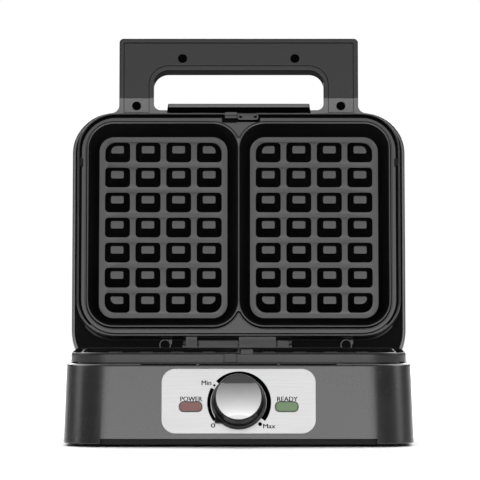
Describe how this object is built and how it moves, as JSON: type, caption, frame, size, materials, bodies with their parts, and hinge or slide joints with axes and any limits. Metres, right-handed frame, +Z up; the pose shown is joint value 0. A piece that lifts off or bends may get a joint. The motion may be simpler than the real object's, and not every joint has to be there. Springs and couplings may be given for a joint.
{
  "type": "waffle maker",
  "caption": "Open waffle maker with plates full of square pegs, a hinged lid with a loop handle, and a sloping control panel with a dial and lamps.",
  "frame": {"origin": "middle of the open appliance's outline on the worktop, between the feet", "axes": "+X to the right when facing the controls, +Z up, controls and knob face -Y, the hinge line runs along X"},
  "size_m": [0.274, 0.3268, 0.3243],
  "materials": {
    "housing_plastic": "satin",
    "dark_plastic": "satin",
    "frame_plastic": "satin",
    "handle_plastic": "fine grain",
    "nonstick": "nonstick coating on cast aluminium",
    "steel": "plain",
    "dark_steel": "blackened",
    "sheet_aluminium": "plain",
    "heater_sheath": "oxidised",
    "fascia_metal": "brushed across",
    "chrome": "polished",
    "knob_plastic": "gloss",
    "gloss_black": "gloss",
    "rubber": "matt",
    "red_lens": "tinted clear plastic",
    "green_lens": "tinted clear plastic",
    "lamp_glass": "clear",
    "ceramic": "plain",
    "wire_cover": "silicone"
  },
  "bodies": {
    "base": {"base_housing": "housing_plastic", "bottom_cover": "dark_plastic", "rubber_feet": "rubber", "base_plate_frame": "dark_plastic", "lower_plate": "nonstick", "lower_side_clips": "dark_steel", "lower_reflector": "sheet_aluminium", "lower_heating_element": "heater_sheath", "control_fascia": "fascia_metal", "power_lens": "red_lens", "ready_lens": "green_lens", "power_lamp": "lamp_glass", "ready_lamp": "lamp_glass", "thermostat": "steel", "thermostat_nut": "steel", "thermal_fuse": "ceramic", "terminal_block": "ceramic", "wiring_loom": "wire_cover", "cord_grommet": "rubber", "base_hinge_bracket": "frame_plastic", "hinge_pin": "steel", "bottom_screws": "steel"},
    "lower_latch_body": {"lower_latch": "dark_plastic"},
    "knob": {"knob_body": "knob_plastic", "knob_cap": "chrome", "knob_shaft": "steel"},
    "lid": {"lid_shell": "housing_plastic", "lid_plate_frame": "frame_plastic", "lid_outer_panel": "gloss_black", "upper_plate": "nonstick", "upper_side_clips": "dark_steel", "upper_reflector": "sheet_aluminium", "upper_heating_element": "heater_sheath", "lid_hinge_bracket": "frame_plastic", "lid_boss_screws": "steel", "handle_grip": "handle_plastic", "handle_cover": "handle_plastic", "handle_screws": "dark_steel"},
    "upper_latch_body": {"upper_latch": "dark_plastic"}
  },
  "joints": [
    {"name": "lid_hinge", "type": "hinge", "parent": "base", "child": "lid", "pos_m": [0, 0.0694, 0.073], "axis": [1, 0, 0], "range_deg": [0, 104]},
    {"name": "knob_turn", "type": "hinge", "parent": "base", "child": "knob", "pos_m": [0, -0.1376, 0.03432], "axis": [0, 0.9703, -0.2419], "range_deg": [0, 267]},
    {"name": "upper_latch_press", "type": "slide", "parent": "lid", "child": "upper_latch_body", "axis": [0, 0.2419, 0.9703], "range_m": [0, 0.003], "stiffness_N_per_m": 400},
    {"name": "lower_latch_press", "type": "slide", "parent": "base", "child": "lower_latch_body", "axis": [0, -1, 0], "range_m": [0, 0.003], "stiffness_N_per_m": 400}
  ]
}
